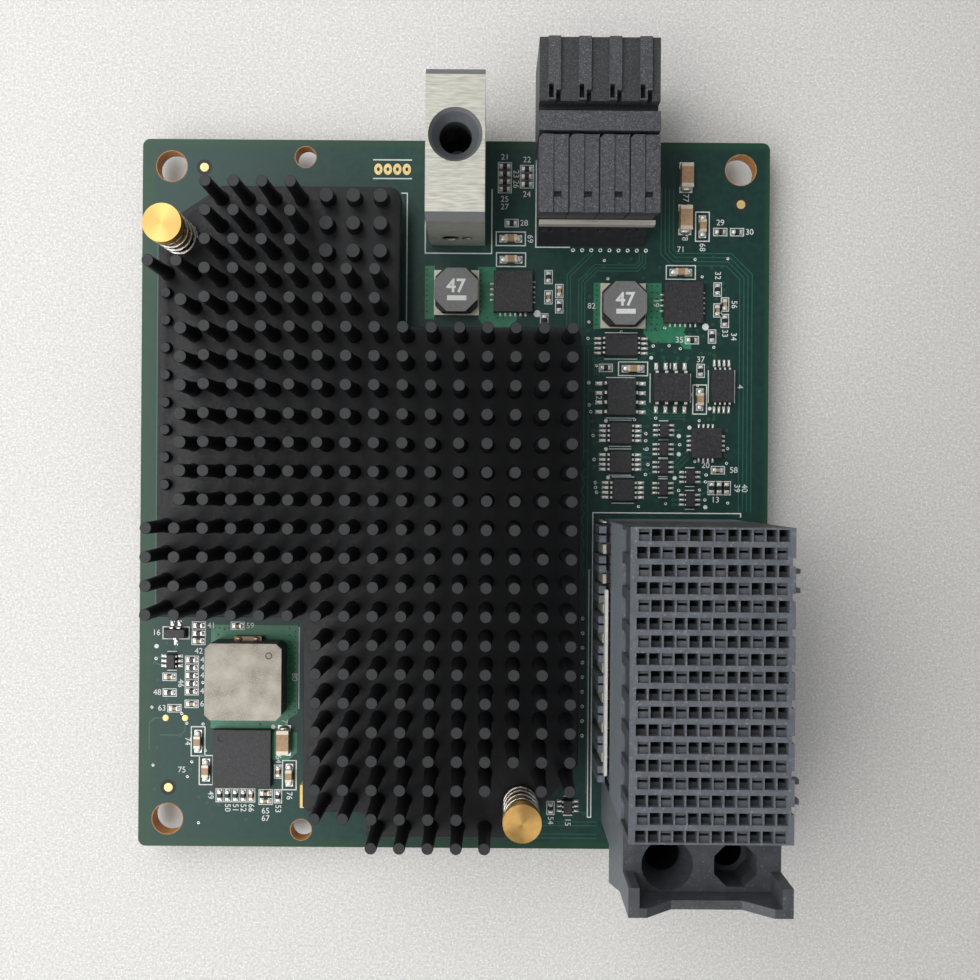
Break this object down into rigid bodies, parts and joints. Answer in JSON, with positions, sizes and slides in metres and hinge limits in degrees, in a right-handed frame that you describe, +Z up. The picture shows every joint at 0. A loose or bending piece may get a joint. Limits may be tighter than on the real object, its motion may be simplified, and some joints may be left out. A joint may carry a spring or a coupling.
{
  "type": "mezzanine network card",
  "caption": "Server mezzanine card: a green circuit board with a black pin-fin heat sink, a right-angle edge connector, a tall slotted connector and a guide block.",
  "frame": {"origin": "under the middle of the footprint, level with the fastener ends below the board", "axes": "+X to the right of the component side, +Y to the edge connector, +Z up from the board"},
  "size_m": [0.084, 0.1048, 0.0324],
  "materials": {
    "solder_mask": "satin green solder mask over glass laminate",
    "black_anodised": "cast, black anodised",
    "brass": "turned",
    "spring_steel": "drawn wire",
    "package_black": "moulded, matt",
    "lid_metal": "nickel plated",
    "pad_grey": "soft pad",
    "pad_cream": "soft pad",
    "block_aluminium": "milled",
    "screw_steel": "plain",
    "charcoal_plastic": "glass filled, speckled",
    "strip_metal": "tin plated",
    "blue_grey_plastic": "glass filled, satin",
    "wafer_grey": "moulded, matt",
    "contact_metal": "plated",
    "keeper_white": "moulded, matt",
    "choke_powder": "pressed powder",
    "copper": "tinned copper strap",
    "ferrite": "ground ferrite",
    "lead_tin": "tin plated",
    "capacitor_tan": "fired",
    "resistor_black": "glazed top"
  },
  "bodies": {
    "root": {"circuit_board": "solder_mask", "heat_sink": "black_anodised", "push_pins": "brass", "push_pin_springs": "spring_steel", "controller_base": "package_black", "controller_lid": "lid_metal", "thermal_pad": "pad_grey", "support_pad": "pad_cream", "guide_block": "block_aluminium", "guide_block_screws": "screw_steel", "edge_module_1": "charcoal_plastic", "edge_module_2": "charcoal_plastic", "edge_module_3": "charcoal_plastic", "edge_module_4": "charcoal_plastic", "edge_shroud": "charcoal_plastic", "edge_tail_block": "charcoal_plastic", "edge_strip": "strip_metal", "tall_housing": "blue_grey_plastic", "wafers": "wafer_grey", "ground_contacts": "contact_metal", "wafer_keeper": "keeper_white", "guide_module": "blue_grey_plastic", "main_choke": "choke_powder", "main_choke_straps": "copper", "small_choke_bases": "package_black", "small_choke_cores": "ferrite", "power_stage": "package_black", "regulators": "package_black", "quad_package": "package_black", "soic_packages": "package_black", "soic_leads": "lead_tin", "tssop_packages": "package_black", "tssop_leads": "lead_tin", "msop_packages": "package_black", "msop_leads": "lead_tin", "sc70_packages": "package_black", "sc70_leads": "lead_tin", "sot23_package": "package_black", "sot23_leads": "lead_tin", "large_capacitors": "capacitor_tan", "large_capacitor_ends": "lead_tin", "medium_capacitors": "capacitor_tan", "medium_capacitor_ends": "lead_tin", "small_resistors": "resistor_black", "small_capacitors": "capacitor_tan"}
  },
  "joints": []
}
